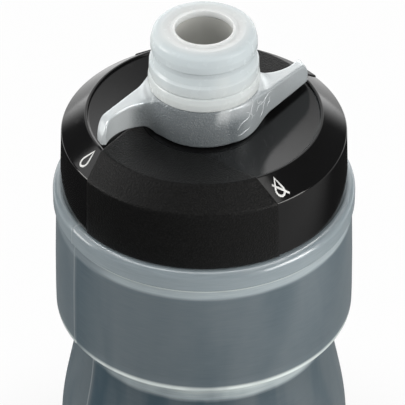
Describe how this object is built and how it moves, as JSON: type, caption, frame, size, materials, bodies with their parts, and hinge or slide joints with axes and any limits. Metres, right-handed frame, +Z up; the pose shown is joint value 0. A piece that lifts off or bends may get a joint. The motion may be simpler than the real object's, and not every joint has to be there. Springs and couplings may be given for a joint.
{
  "type": "bicycle water bottle",
  "caption": "Squeeze bottle for a bicycle cage: waisted smoky body, black screw cap with matte grip panels, winged lock dial that shuts the spout, and a soft pull-off mouthpiece.",
  "frame": {"origin": "centre of the base, on the surface that the bottle stands on", "axes": "+Z up along the bottle's axis, -Y towards the cap's front grip panel, +X to the right of it"},
  "size_m": [0.0738, 0.0738, 0.2],
  "materials": {
    "smoky_bottle": "satin translucent smoke grey polyethylene",
    "gloss_black": "gloss black",
    "matte_black": "fine-grained matte black, soft to the touch",
    "white_print": "printed line",
    "black_rubber": "matte",
    "silver_plastic": "silver plastic with fine metallic flake",
    "seal_silicone": "soft satin",
    "milky_silicone": "milky translucent silicone"
  },
  "bodies": {
    "bottle": {"bottle": "smoky_bottle"},
    "cap_seal": {"cap_gasket": "seal_silicone"},
    "cap": {"cap": "gloss_black", "front_grip": "matte_black", "rear_grip": "matte_black", "open_mark": "white_print", "closed_mark": "white_print", "dial_o_ring": "black_rubber", "port_seal": "seal_silicone"},
    "dial": {"lock_dial": "silver_plastic", "slit_valve": "seal_silicone"},
    "mouthpiece": {"mouthpiece": "milky_silicone"}
  },
  "joints": [
    {"name": "cap_lift", "type": "slide", "parent": "bottle", "child": "cap_seal", "axis": [0, 0, 1], "range_m": [0, 0.0251]},
    {"name": "cap_turn", "type": "hinge", "parent": "cap_seal", "child": "cap", "pos_m": [0, 0, 0.165], "axis": [0, 0, 1], "range_deg": [0, 1800]},
    {"name": "lock_turn", "type": "hinge", "parent": "cap", "child": "dial", "pos_m": [0, 0, 0.178], "axis": [0, 0, 1], "range_deg": [-86, 0]},
    {"name": "mouthpiece_pull", "type": "slide", "parent": "dial", "child": "mouthpiece", "axis": [0, 0, 1], "range_m": [0, 0.02]}
  ],
  "couplings": [
    {"joint": "cap_lift", "follows": "cap_turn", "m_per_rad": 0.00079577}
  ]
}
